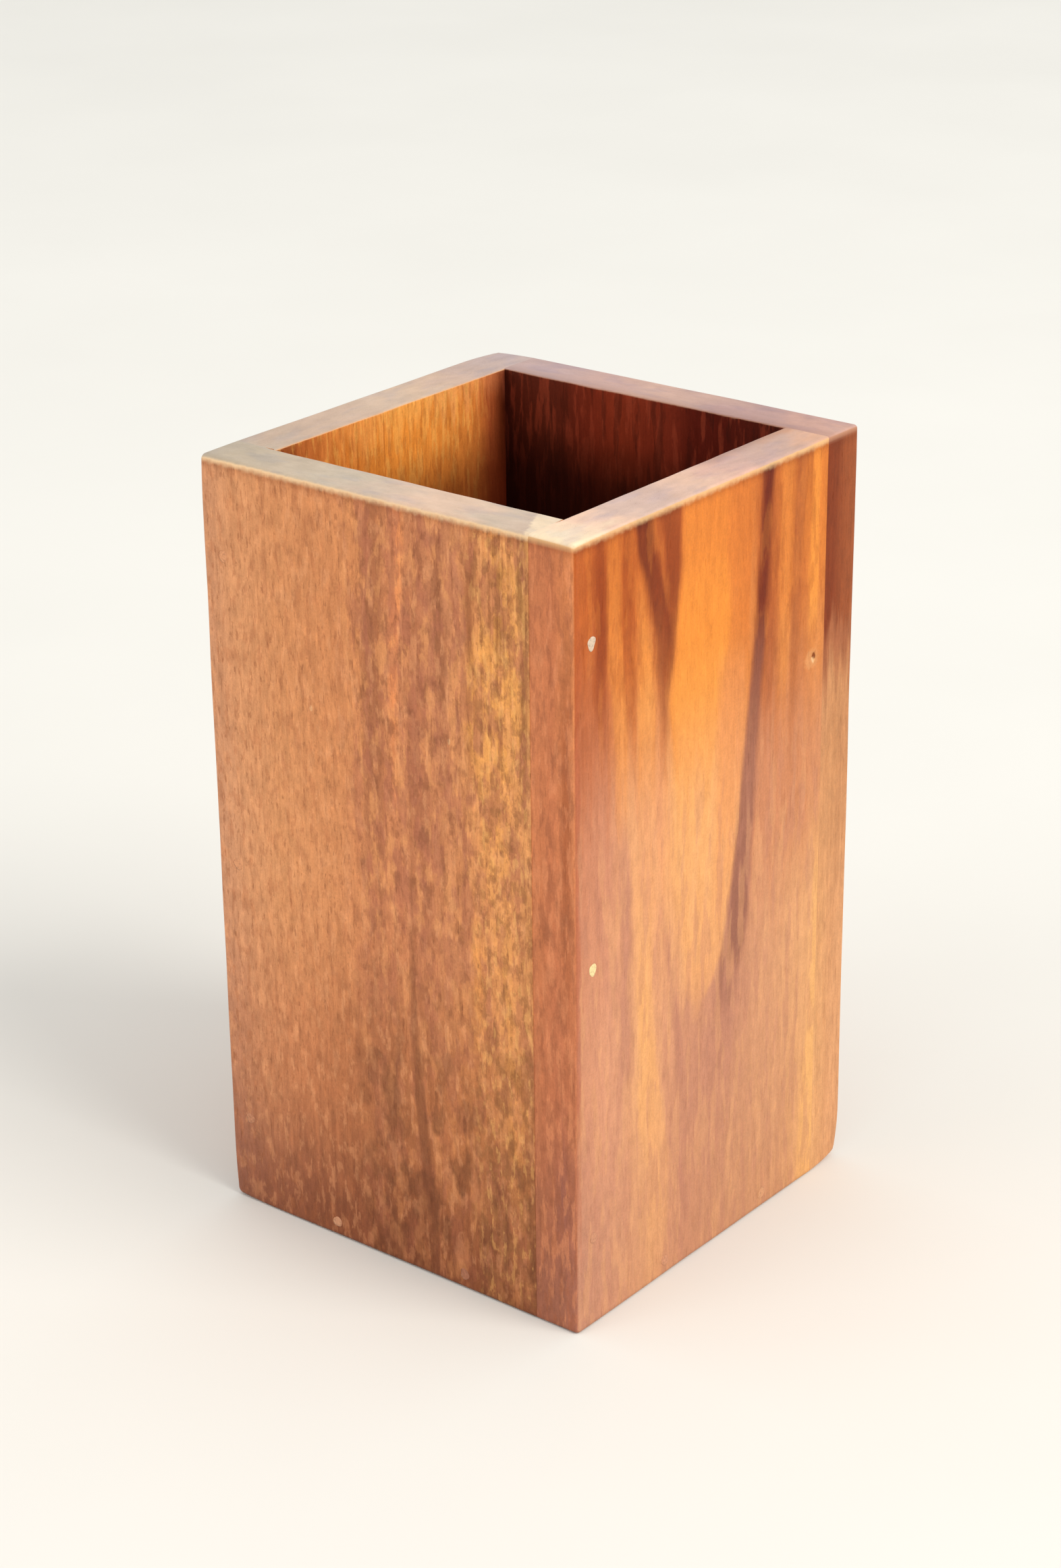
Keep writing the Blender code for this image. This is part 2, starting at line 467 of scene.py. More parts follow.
class Graph:
    """Builds a material's nodes: every method returns the socket that holds its answer."""

    def __init__(self, name):
        self.material = bpy.data.materials.new(name)
        self.material.use_nodes = True
        self.tree = self.material.node_tree
        self.shader = self.tree.nodes["Principled BSDF"]

    def put(self, socket, value):
        if isinstance(value, bpy.types.NodeSocket):
            self.tree.links.new(value, socket)
        else:
            socket.default_value = value

    def node(self, kind, inputs=(), **settings):
        node = self.tree.nodes.new(f"ShaderNode{kind}")
        for key, value in settings.items():
            setattr(node, key, value)
        for key, value in dict(inputs).items():
            self.put(node.inputs[key], value)
        return node

    def math(self, operation, a, b=0.0):
        return self.node("Math", {0: a, 1: b}, operation=operation).outputs[0]

    def add(self, a, b):
        return self.math("ADD", a, b)

    def times(self, a, b):
        return self.math("MULTIPLY", a, b)

    def between(self, value, start, end, low=0.0, high=1.0):
        """Rises smoothly from low to high as the value goes from start to end."""
        inputs = {"Value": value, 1: start, 2: end, 3: low, 4: high}
        return self.node("MapRange", inputs, interpolation_type="SMOOTHSTEP").outputs[0]

    def vector(self, x, y, z):
        return self.node("CombineXYZ", {0: x, 1: y, 2: z}).outputs[0]

    def noise(self, vector, detail=2.0, roughness=0.5):
        """Noise of about 0 to 1 with features one unit across."""
        inputs = {"Vector": vector, "Scale": 1.0, "Detail": detail, "Roughness": roughness}
        return self.node("TexNoise", inputs).outputs[0]

    def centred(self, vector, size, detail=2.0, roughness=0.5):
        """Noise of about -size to size."""
        noise_value = self.noise(vector, detail, roughness)
        return self.times(self.math("SUBTRACT", noise_value, 0.5), 2.4 * size)

    def mix(self, a, b, factor, blend="MIX"):
        node = self.node("Mix", {0: factor, 6: a, 7: b}, data_type="RGBA", blend_type=blend)
        return node.outputs[2]

    def scale(self, colour, level):
        return self.node("VectorMath", {0: colour, 3: level}, operation="SCALE").outputs[0]

    def curve(self, value, points, low, high):
        """A smooth line through (value, answer) points, with both between low and high bounds."""
        (start, end), (least, most) = low, high
        scaled_value = self.math("DIVIDE", self.math("SUBTRACT", value, start), end - start)
        node = self.node("FloatCurve", {1: scaled_value})
        line = node.mapping.curves[0]
        spots = sorted(((p - start) / (end - start), (q - least) / (most - least)) for p, q in points)
        while len(line.points) < len(spots):
            line.points.new(0.5, 0.5)
        for spot, place in zip(line.points, spots):
            spot.location = place
            spot.handle_type = "AUTO_CLAMPED"
        node.mapping.extend = "HORIZONTAL"
        node.mapping.update()
        return self.add(self.times(node.outputs[0], most - least), least)

    def ramp(self, value, tones, light):
        """Colours blended through (value, tone) stops."""
        start, end = tones[0][0], tones[-1][0]
        share = self.math("DIVIDE", self.math("SUBTRACT", value, start), end - start)
        node = self.node("ValToRGB", {0: share})
        stops = node.color_ramp.elements
        stops[0].color = linear(tones[0][1], light)
        stops[1].color = linear(tones[-1][1], light)
        for place, tone in tones[1:-1]:
            stops.new((place - start) / (end - start)).color = linear(tone, light)
        return node.outputs[0]


GRIT = 0.1  # unevenness at the scale of sanding dust
Z_BOUNDS = (0.0, 125.0)
U_BOUNDS = (-12.0, 78.0)


class Wood(Graph):
    """One board's wood. u runs across the outer face from the board's own corner, in
    millimetres, and on round the corner as less than 0; z is the height. The growth
    lines pass through the board at 45 degrees, so the rim and the inside follow on."""

    def __init__(self, side, seed):
        super().__init__(f"wood_{side}")
        self.light = LIGHT[side]
        self.seed = seed
        turn = -SIDES.index(side) * math.pi / 2 if side in SIDES else 0.0
        place = self.node("TexCoord").outputs["Object"]
        scale = 1 / MM
        inputs = {
            "Vector": place,
            "Location": (HALF * scale, HALF * scale, 0),
            "Rotation": (0, 0, turn),
            "Scale": (scale,) * 3,
        }
        split = self.node("SeparateXYZ", {0: self.node("Mapping", inputs).outputs[0]})
        self.s, self.d, self.z = split.outputs
        self.up = self.node("SeparateXYZ", {0: self.node("NewGeometry").outputs["Normal"]}).outputs[2]
        self.flat_u = self.math("SUBTRACT", self.s, self.d)
        self.u = self.wander(self.flat_u)

    def at(self, u, u_size, z_size, offset=0.0):
        """A noise place stretched so that features are u_size across and z_size up."""
        return self.vector(
            self.add(self.times(u, 1 / u_size), offset + self.seed * 17.0),
            self.times(self.d, 0.35 / u_size),
            self.times(self.z, 1 / z_size),
        )

    def wander(self, u):
        """u with the growth lines' gentle waves and the fibres' frayed edges."""
        u = self.add(u, self.centred(self.at(u, 14, 45), 0.9))
        u = self.add(u, self.centred(self.at(u, 1.6, 9, 3.0), 0.45, 3))
        return self.add(u, self.centred(self.at(u, 0.35, 4, 5.0), 0.3))

    def streak(self, colour, tone, path, soft, strength, reach=None):
        """Paints a streak: path is (z, left, right) points and strength is (z, share) points."""
        centres = [(z, (left + right) / 2) for z, left, right in path]
        halves = [(z, (right - left) / 2) for z, left, right in path]
        centre = self.curve(self.z, centres, Z_BOUNDS, U_BOUNDS) if len(path) > 1 else centres[0][1]
        half = self.curve(self.z, halves, Z_BOUNDS, (0.0, 30.0)) if len(path) > 1 else halves[0][1]
        away = self.math("ABSOLUTE", self.math("SUBTRACT", self.u, centre))
        mask = self.between(away, self.add(half, soft), self.math("SUBTRACT", half, soft))
        if len(strength) > 1:
            mask = self.times(mask, self.curve(self.z, strength, Z_BOUNDS, (0.0, 1.0)))
        else:
            mask = self.times(mask, strength[0][1])
        return self.mix(colour, linear(tone, self.light), mask)

    def layers(self, rows):
        """Colour ramps across the face at some heights, blended up it along the fibres."""
        frayed = self.add(self.z, self.centred(self.at(self.u, 1.2, 25, 11.0), 7.0))
        (below, tones), *others = rows
        colour = self.ramp(self.u, tones, self.light)
        for height, tones in others:
            part = self.between(frayed, below, height)
            colour = self.mix(colour, self.ramp(self.u, tones, self.light), part)
            below = height
        return colour

    def edge(self, face, colour):
        """Puts a colour on the board's long edge, which its neighbour's face is flush with."""
        return self.mix(face, colour, self.between(self.flat_u, 0.25, -0.25))

    def inside(self, face, colour):
        """Puts a colour on the face inside the cup."""
        inner = STOCK / MM
        mask = self.between(self.d, inner - 0.6, inner - 0.1)
        return self.mix(face, colour, self.times(mask, self.between(self.flat_u, -3, -1)))

    def rim(self, colour, tones, line, patch=None, lip=None):
        """The pale sanded end grain on top, toned along the board; its paleness is partly the end grain and
        partly a painted reflection. The soft edge's warm line and the cream band below it are partly wear
        and partly painted highlight, with a thin line of painted shade under them. A patch is a tone and the
        place along the board where it starts. A lip is how much painted shade darkens the edge beside the
        well, and where along the board that starts."""
        near_top = self.between(self.z, HEIGHT / MM - 1.5, HEIGHT / MM - 0.6)
        fray = self.centred(self.vector(self.s, self.z, self.seed * 9.0), 0.14, 3)
        up = self.add(self.up, self.times(fray, near_top))
        corner = self.between(up, 0.02, 0.4, 0.0, 0.85)
        below = self.add(self.z, self.times(fray, 2.5))
        outer = self.math("MAXIMUM", self.between(self.d, 1.4, 0.7), self.between(self.s, 1.4, 0.7))
        shadow = self.between(below, HEIGHT / MM - 2.6, HEIGHT / MM - 1.6)
        colour = self.shade(colour, self.times(shadow, outer), 0.16)
        # the cream band under the edge and the warm line on it: partly wear, partly painted highlight
        below = self.between(below, HEIGHT / MM - 1.5, HEIGHT / MM - 0.3, 0.0, 0.85)
        below = self.times(below, outer)
        colour = self.mix(colour, linear(line, self.light), self.math("MAXIMUM", corner, below))
        # the end grain's tones, partly a painted reflection
        clouds = self.vector(self.times(self.s, 0.16), self.times(self.d, 0.3), self.seed * 3.0)
        along = self.add(self.s, self.centred(clouds, 8.0, 3))
        grain = self.ramp(along, tones, LIGHT["top"])
        if patch:
            tone, start = patch
            slanted = self.add(self.s, self.times(self.d, 0.5))
            slanted = self.add(slanted, self.centred(self.vector(self.s, self.d, 0.0), 0.7))
            share = self.between(slanted, start - 0.3, start + 0.5, 0.0, 0.8)
            grain = self.mix(grain, linear(tone, LIGHT["top"]), share)
        scuffs = self.vector(self.times(self.s, 0.22), self.times(self.d, 0.4), self.seed * 5.0)
        grain = self.scale(grain, self.add(self.centred(scuffs, 0.22, 6, 0.7), 1.0))
        cool = self.vector(self.times(self.s, 0.15), self.times(self.d, 0.35), self.seed * 7.0)
        cool = self.between(self.noise(cool, 3), 0.48, 0.66, 0.0, 0.9)
        grain = self.mix(grain, (0.9, 0.93, 1.02, 1), cool, "MULTIPLY")
        pores = self.noise(self.vector(self.times(self.s, 4.0), self.times(self.d, 4.0), 0.0), 2)
        grain = self.shade(grain, self.between(pores, 0.55, 0.75), 0.1)
        # painted shade along the edge beside the well
        if lip:
            share, start = lip
            inner = self.add(self.d, self.centred(scuffs, 2.0, 4))
            inner = self.times(self.between(inner, 5.2, 7.6), self.between(self.s, start, start + 8))
            grain = self.shade(grain, inner, share)
        return self.mix(colour, grain, self.between(up, 0.2, 0.8))

    def spot(self, colour, tone, place, reach, strength=1.0):
        """A small soft-edged mark: place and reach are (across, up) in millimetres."""
        across = self.math("DIVIDE", self.math("SUBTRACT", self.flat_u, place[0]), reach[0])
        up = self.math("DIVIDE", self.math("SUBTRACT", self.z, place[1]), reach[1])
        away = self.math("SQRT", self.add(self.times(across, across), self.times(up, up)))
        away = self.add(away, self.centred(self.at(self.s, 0.5, 0.5), 0.4))
        mask = self.between(away, 1.3, 0.7, 0.0, strength)
        return self.mix(colour, linear(tone, self.light), mask)

    def shade(self, colour, amount, share):
        """Darkens a colour towards brown by a share of the amount."""
        darker = self.mix(colour, (0.42, 0.27, 0.19, 1), 1.0, "MULTIPLY")
        return self.mix(colour, darker, self.times(amount, share))

    def patches(self, colour, looks, mask=1.0, frayed=0.6):
        """Patches along the fibres, where the mask is, with edges as frayed as asked. Each look
        is a tone, a size (across, up), the noise level that its patches start at, and a share."""
        for number, (tone, size, start, share) in enumerate(looks):
            cover = self.noise(self.at(self.u, *size, 41.0 + 6.0 * number), 4, frayed)
            amount = self.times(self.between(cover, start - 0.04, start + 0.06), self.times(mask, share))
            colour = self.mix(colour, linear(tone, self.light), amount)
        return colour

    def deepen(self, colour, tone, shares):
        """Sinks a colour into a deep tone, as (z, share) points say: painted shade that grows down the well."""
        return self.mix(colour, linear(tone, self.light), self.curve(self.z, shares, Z_BOUNDS, (0.0, 1.0)))

    def arches(self, colour, tone, centre, reach, share):
        """Growth lines of a flat-sawn board, arched round a centre line: reach is (across, up)."""
        across = self.math("DIVIDE", self.math("SUBTRACT", self.u, centre), reach[0])
        rise = self.times(self.z, -1 / reach[1])
        ring = self.add(rise, self.times(across, across))
        lines = self.noise(self.vector(ring, self.seed * 1.7, 0.0), 3, 0.6)
        amount = self.times(self.between(lines, 0.5, 0.64), share)
        return self.mix(colour, linear(tone, self.light), amount)

    def wear_and_shade_lines(self, colour):
        """Dark lines under the rim's arris and along the foot: partly finish and dust that gather there, partly painted
        shade under the arris and painted contact shadow at the foot.
        """
        top = HEIGHT / MM
        line = self.times(self.between(self.z, top - 2.0, top - 1.1), self.between(self.z, top - 0.5, top - 0.9))
        foot = self.between(self.z, 1.0, 0.2)
        return self.shade(colour, self.math("MAXIMUM", line, foot), 0.28)

    def grain(self, colour, fibre, coarse, fleck, dash, spark, mottle):
        """The fine detail over a colour, with painted glints among it, and the bump and gloss that go with it."""
        fibres = self.noise(self.at(self.u, 0.32, 11), 2)
        bands = self.noise(self.at(self.flat_u, 1.4, 70, 2.0), 2)
        flecks = self.noise(self.at(self.u, 1.0, 4.2, 7.0), 3)
        dashes = self.noise(self.at(self.flat_u, 0.2, 2.4, 13.0), 1)
        colour = self.shade(colour, self.between(fibres, 0.35, 0.75), fibre)
        colour = self.shade(colour, self.between(bands, 0.4, 0.7), coarse)
        colour = self.shade(colour, self.between(flecks, 0.5, 0.72), fleck)
        spots = self.centred(self.at(self.u, 1.6, 4.0, 23.0), 1.0, 4, 0.7)
        grit = self.centred(self.vector(self.times(self.s, 3.6), self.times(self.d, 3.6), self.times(self.z, 3.6)), GRIT, 1)
        level = self.add(self.add(self.times(spots, mottle), grit), 1.0)
        colour = self.scale(colour, level)
        # painted glints: light flecks standing in for the wood's shimmer
        light = self.mix(colour, (1.3, 1.25, 1.15, 1), 1.0, "MULTIPLY")
        glint = self.noise(self.at(self.u, 0.7, 3.0, 19.0), 2)
        colour = self.mix(colour, light, self.times(self.between(glint, 0.52, 0.75), spark))
        pores = self.between(dashes, 0.62, 0.78)
        colour = self.shade(colour, pores, dash)
        height = self.math("SUBTRACT", self.times(fibres, 0.5), pores)
        bump = {"Height": height, "Distance": 0.02 * MM, "Strength": 1.0}
        self.put(self.shader.inputs["Normal"], self.node("Bump", bump).outputs[0])
        rough = self.add(self.times(fibres, 0.12), self.times(pores, 0.2))
        self.put(self.shader.inputs["Roughness"], self.add(rough, 0.38))
        return colour

    def finish(self, colour):
        self.put(self.shader.inputs["Base Color"], colour)
        self.shader.inputs["IOR"].default_value = 1.5
        self.shader.inputs["Specular IOR Level"].default_value = 0.12
        return self.material


# ---------------------------------------------------------------- the four boards' woods


def front_wood():
    """Tan to the left, a grey-brown band, a purplish middle and a gold flecked right side."""
    wood = Wood("front", 1)
    top = [
        (-8, (200, 146, 108)), (0, (200, 142, 106)), (6, (212, 148, 103)), (14, (209, 142, 95)),
        (24, (207, 137, 90)), (31, (210, 139, 91)), (36, (201, 131, 89)), (42, (195, 127, 88)),
        (47, (195, 129, 90)), (52, (211, 140, 91)), (57, (230, 157, 97)), (61.5, (208, 144, 88)),
    ]
    middle = [
        (-8, (204, 148, 110)), (0, (204, 146, 110)), (6, (213, 150, 106)), (13, (214, 148, 100)),
        (25, (213, 143, 95)), (31, (208, 136, 92)), (37, (206, 134, 92)), (42, (193, 125, 87)),
        (47, (209, 140, 94)), (51, (217, 145, 94)), (57, (222, 151, 96)), (61.5, (208, 141, 89)),
    ]
    low = [
        (-8, (186, 129, 97)), (0, (186, 128, 97)), (8, (197, 132, 92)), (16, (195, 126, 85)),
        (28, (180, 114, 75)), (36, (170, 107, 70)), (44, (178, 112, 72)), (52, (184, 118, 74)),
        (58, (194, 127, 78)), (61.5, (178, 113, 72)),
    ]
    foot = [
        (-8, (160, 108, 86)), (0, (160, 106, 84)), (8, (158, 100, 74)), (20, (150, 92, 65)),
        (35, (140, 83, 56)), (50, (148, 90, 60)), (58, (156, 97, 64)), (61.5, (148, 90, 61)),
    ]
    face = wood.layers([(4, foot), (28, low), (62, middle), (104, top)])
    for tone, path, soft, strength in (
        # the grey-brown band
        ((158, 99, 70), [(125, 32.3, 35.2), (105, 31.3, 35), (85, 30.7, 34.8), (65, 29.7, 34.5), (40, 29.6, 34), (0, 31, 35)], 0.9, [(125, 0.6), (95, 0.75), (80, 0.6), (60, 0.35), (30, 0.3), (0, 0.35)]),
        # the orange streak
        ((244, 154, 96), [(125, 37, 39.4), (112, 37, 39), (105, 36.5, 38), (92, 36.3, 37.5), (75, 35.8, 36.6)], 0.5, [(125, 0.5), (106, 0.8), (90, 0.5), (72, 0)]),
        # brown marks in the purplish middle
        ((150, 94, 66), [(125, 44.8, 46.4), (105, 44.4, 46.4), (80, 45, 46)], 0.7, [(125, 0.4), (111, 0.75), (98, 0.3), (88, 0)]),
        ((150, 92, 60), [(125, 52, 54), (118, 51.2, 52.8), (100, 50.7, 52), (75, 49, 50.2), (55, 49, 50)], 0.6, [(125, 0.7), (108, 0.75), (85, 0.35), (66, 0.5), (50, 0)]),
        ((166, 102, 74), [(125, 40.5, 42.5), (95, 40.6, 43), (60, 40, 44)], 0.8, [(125, 0.3), (95, 0.45), (60, 0.3), (40, 0)]),
        # gold to the right of it
        ((246, 172, 92), [(125, 55, 60), (112, 54, 60), (98, 50, 60), (84, 52, 58), (60, 55, 58), (30, 57, 60)], 1.5, [(125, 0.3), (115, 0.5), (98, 0.65), (80, 0.45), (60, 0.4), (36, 0.35), (20, 0)]),
        ((232, 156, 88), [(125, 50, 52), (62, 51, 53.4), (42, 51, 53)], 0.6, [(125, 0), (68, 0), (56, 0.75), (40, 0)]),
        ((150, 104, 62), [(125, 60, 61.2), (98, 60.2, 61.4)], 0.5, [(125, 0.75), (104, 0.55), (80, 0.15)]),
        ((160, 108, 62), [(125, 56, 57.6), (98, 56, 57.6)], 0.5, [(125, 0.1), (109, 0.65), (100, 0), (60, 0)]),
        # the thin dark growth line low on the face
        ((138, 84, 56), [(125, 32, 35), (0, 32, 35)], 1.4, [(125, 0), (30, 0), (10, 0.5), (0, 0.4)]),
        ((136, 86, 58), [(125, 52, 57), (0, 52, 57)], 1.6, [(125, 0), (36, 0), (16, 0.55), (0, 0.4)]),
    ):
        face = wood.streak(face, tone, path, soft, strength)
    for place in ((20.5, 89.4), (47, 90.6)):
        face = wood.spot(face, (236, 190, 140), place, (0.3, 0.45), 0.7)
    wood.light = LIGHT["left"]
    edge = wood.layers([(10, [(-8, (150, 100, 75)), (0, (160, 105, 80))]), (60, [(-8, (195, 130, 90)), (0, (200, 135, 95))])])
    wood.light = LIGHT["front"]
    face = wood.patches(face, (
        ((230, 162, 114), (1.6, 4.5), 0.55, 0.35),
        ((174, 108, 72), (1.4, 4.0), 0.55, 0.38),
        ((152, 94, 62), (0.45, 2.2), 0.6, 0.5),
    ))
    right_part = wood.between(wood.flat_u, 24, 32)
    face = wood.patches(face, (
        ((230, 158, 102), (2.6, 7.0), 0.54, 0.5),
        ((170, 104, 80), (3.0, 8.5), 0.52, 0.55),
        ((138, 84, 58), (1.6, 4.0), 0.57, 0.45),
    ), wood.times(right_part, wood.between(wood.z, 25, 80, 0.5, 1.0)))
    face = wood.patches(face, (
        ((118, 73, 50), (4.6, 9.0), 0.52, 0.55),
        ((206, 137, 92), (3.8, 8.0), 0.57, 0.3),
    ), wood.times(right_part, wood.between(wood.z, 60, 25)), 0.55)
    gold_part = wood.between(wood.flat_u, 49, 53)
    face = wood.patches(face, (
        ((150, 100, 62), (1.3, 3.0), 0.54, 0.5),
        ((248, 184, 112), (1.1, 4.0), 0.57, 0.35),
    ), gold_part)
    growth_line = [(80, 39.5, 40.1), (45, 38.4, 39.7), (24, 39.2, 41.1), (8, 41.1, 43)]
    face = wood.streak(face, (126, 76, 52), growth_line, 0.4, [(100, 0), (75, 0.25), (40, 0.45), (24, 0.7), (0, 0.6)])
    face = wood.shade(face, wood.between(wood.z, 42, 10), 0.13)
    face = wood.shade(face, wood.between(wood.z, 14, 0), 0.24)
    gold = wood.noise(wood.at(wood.flat_u, 0.6, 40, 37.0), 2)
    gold_part = wood.times(gold_part, wood.between(wood.z, 70, 100))
    face = wood.shade(face, wood.times(wood.between(gold, 0.45, 0.62), gold_part), 0.25)
    # wear and painted shade lines under the arris and at the foot, then the fine grain
    colour = wood.grain(wood.wear_and_shade_lines(wood.edge(face, edge)), 0.14, 0.1, 0.2, 0.35, 0.3, 0.36)
    rims = [
        (0, (192, 176, 156)), (6, (198, 180, 156)), (14, (204, 184, 160)), (24, (207, 189, 166)), (32, (214, 190, 168)),
        (41, (232, 198, 172)), (48, (228, 196, 170)), (54, (212, 190, 168)), (62, (214, 188, 166)),
    ]
    return wood.finish(wood.rim(colour, rims, (238, 204, 160), ((252, 226, 190), 61.4)))


